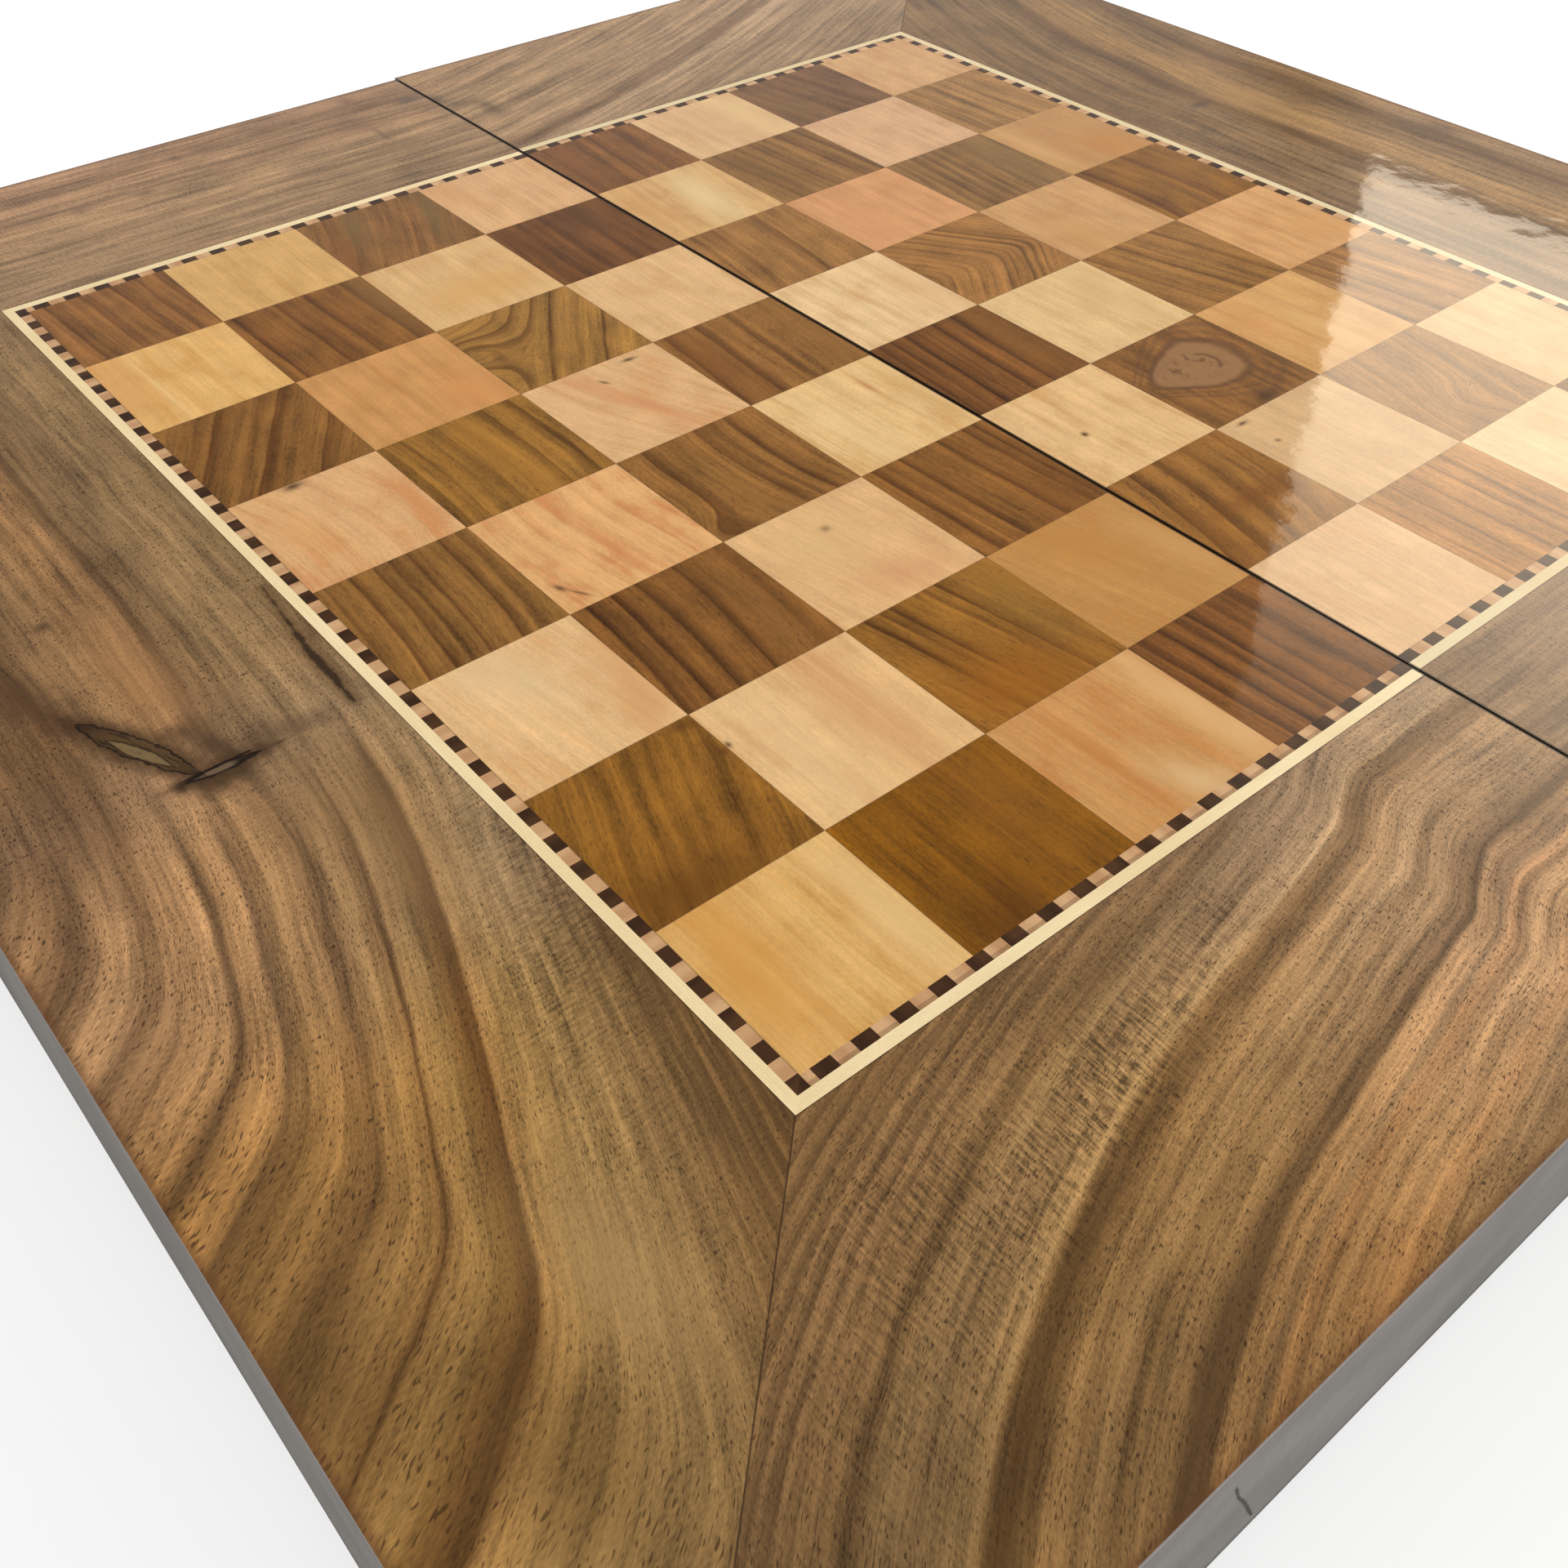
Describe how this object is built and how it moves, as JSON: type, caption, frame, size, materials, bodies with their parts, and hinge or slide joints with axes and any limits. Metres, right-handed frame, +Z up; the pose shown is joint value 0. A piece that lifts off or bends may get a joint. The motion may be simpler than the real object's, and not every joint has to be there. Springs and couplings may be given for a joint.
{
  "type": "folding chess board box",
  "caption": "Folding chess board made of two shallow hinged trays, with an inlaid walnut and maple playing surface, a banded border and a wide mitred walnut frame.",
  "frame": {"origin": "on the table, under the middle of the open board (centre of the bounding box, at the bottom of the feet)", "axes": "+X along the files from a to h, parallel to the seam and the hinge pins; +Y along the ranks from 1 to 8, from the near half to the far half; +Z up out of the playing surface"},
  "size_m": [0.4964, 0.502, 0.042],
  "materials": {
    "walnut_squares": "clear gloss lacquer over striped walnut veneer",
    "maple_squares": "clear gloss lacquer over pale maple and pear veneer",
    "walnut_frame": "clear gloss lacquer over figured walnut veneer",
    "maple_string": "clear gloss lacquer over pale maple",
    "banding_dark": "clear gloss lacquer over dark walnut",
    "banding_light": "clear gloss lacquer over pinkish maple",
    "grey_wall": "matte grey stain on wood",
    "plywood": "bare plywood",
    "felt": "pressed green felt",
    "brass": "satin brass",
    "magnet": "nickel plated disc",
    "rubber_feet": "black rubber"
  },
  "bodies": {
    "near_half": {"left_hinge_near_leaf": "brass", "left_hinge_pin": "brass", "middle_hinge_near_leaf": "brass", "middle_hinge_pin": "brass", "near_banding_dark_blocks": "banding_dark", "near_banding_light_blocks": "banding_light", "near_bumper_feet": "rubber_feet", "near_closing_magnets": "magnet", "near_core_panel": "plywood", "near_felt_lining": "felt", "near_hinge_screws": "brass", "near_left_frame_veneer": "walnut_frame", "near_left_wall": "grey_wall", "near_outer_frame_veneer": "walnut_frame", "near_outer_wall": "grey_wall", "near_pale_string": "maple_string", "near_right_frame_veneer": "walnut_frame", "near_right_wall": "grey_wall", "near_seam_wall": "grey_wall", "rank_1_dark_squares": "walnut_squares", "rank_1_light_squares": "maple_squares", "rank_2_dark_squares": "walnut_squares", "rank_2_light_squares": "maple_squares", "rank_3_dark_squares": "walnut_squares", "rank_3_light_squares": "maple_squares", "rank_4_dark_squares": "walnut_squares", "rank_4_light_squares": "maple_squares", "right_hinge_near_leaf": "brass", "right_hinge_pin": "brass"},
    "far_half": {"far_banding_dark_blocks": "banding_dark", "far_banding_light_blocks": "banding_light", "far_bumper_feet": "rubber_feet", "far_closing_magnets": "magnet", "far_core_panel": "plywood", "far_felt_lining": "felt", "far_hinge_screws": "brass", "far_left_frame_veneer": "walnut_frame", "far_left_wall": "grey_wall", "far_outer_frame_veneer": "walnut_frame", "far_outer_wall": "grey_wall", "far_pale_string": "maple_string", "far_right_frame_veneer": "walnut_frame", "far_right_wall": "grey_wall", "far_seam_wall": "grey_wall", "left_hinge_far_leaf": "brass", "middle_hinge_far_leaf": "brass", "rank_5_dark_squares": "walnut_squares", "rank_5_light_squares": "maple_squares", "rank_6_dark_squares": "walnut_squares", "rank_6_light_squares": "maple_squares", "rank_7_dark_squares": "walnut_squares", "rank_7_light_squares": "maple_squares", "rank_8_dark_squares": "walnut_squares", "rank_8_light_squares": "maple_squares", "right_hinge_far_leaf": "brass"}
  },
  "joints": [
    {"name": "fold", "type": "hinge", "parent": "near_half", "child": "far_half", "pos_m": [0, 0, 0.0019], "axis": [-1, 0, 0], "range_deg": [0, 180]}
  ]
}
